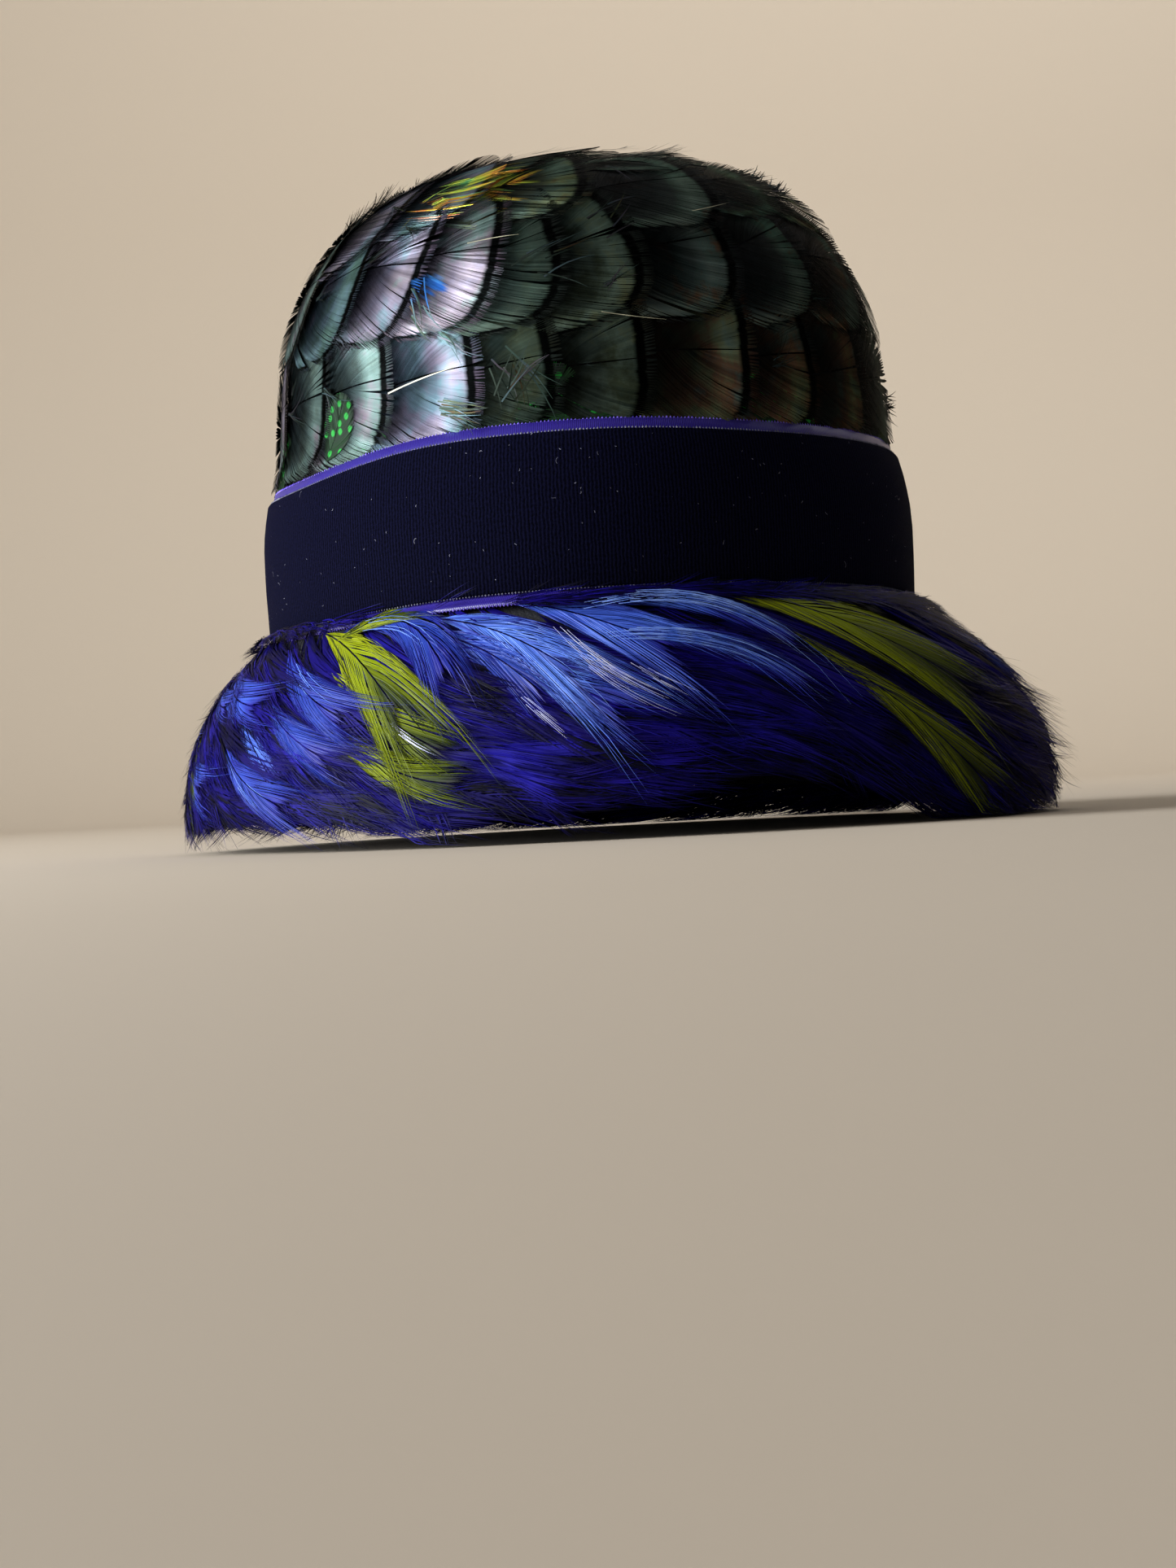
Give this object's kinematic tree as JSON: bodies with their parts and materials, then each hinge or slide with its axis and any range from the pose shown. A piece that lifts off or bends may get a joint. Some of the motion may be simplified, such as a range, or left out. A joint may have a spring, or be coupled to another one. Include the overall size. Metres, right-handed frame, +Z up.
{
  "type": "feather cloche hat",
  "caption": "Bell-shaped hat: feathered crown, velvet band and a short flared brim of swept hackle feathers, hollow and open below.",
  "frame": {"origin": "on the surface that the hat stands on, at the middle of its outline seen from above", "axes": "+Z up, -Y towards the front of the hat, +X towards the viewer's right when facing the front"},
  "size_m": [0.2311, 0.2571, 0.1751],
  "materials": {
    "crown_feather": "dark iridescent feather with a silky green, silver and copper sheen",
    "speckled_feather": "dark green feather with bright green spots",
    "blue_hackle": "dyed ultramarine hackle feather with glossy barbs",
    "green_hackle": "dyed chartreuse hackle feather with darker tips",
    "velvet": "navy velvet pile",
    "satin": "violet satin weave",
    "stiffened_cloth": "matt black stiffened hat cloth"
  },
  "bodies": {
    "root": {"crown_shell": "stiffened_cloth", "brim_shell": "stiffened_cloth", "satin_ribbon": "satin", "velvet_ribbon": "velvet", "speckled_feathers": "speckled_feather", "hackle_skirt": "blue_hackle", "crown_feathers_lower": "crown_feather", "crown_feathers_middle": "crown_feather", "crown_feathers_upper": "crown_feather", "crown_feathers_top": "crown_feather", "green_hackle_01": "green_hackle", "green_hackle_02": "green_hackle", "green_hackle_03": "green_hackle", "green_hackle_04": "green_hackle", "green_hackle_05": "green_hackle", "green_hackle_06": "green_hackle", "green_hackle_07": "green_hackle", "green_hackle_08": "green_hackle", "green_hackle_09": "green_hackle"}
  },
  "joints": []
}
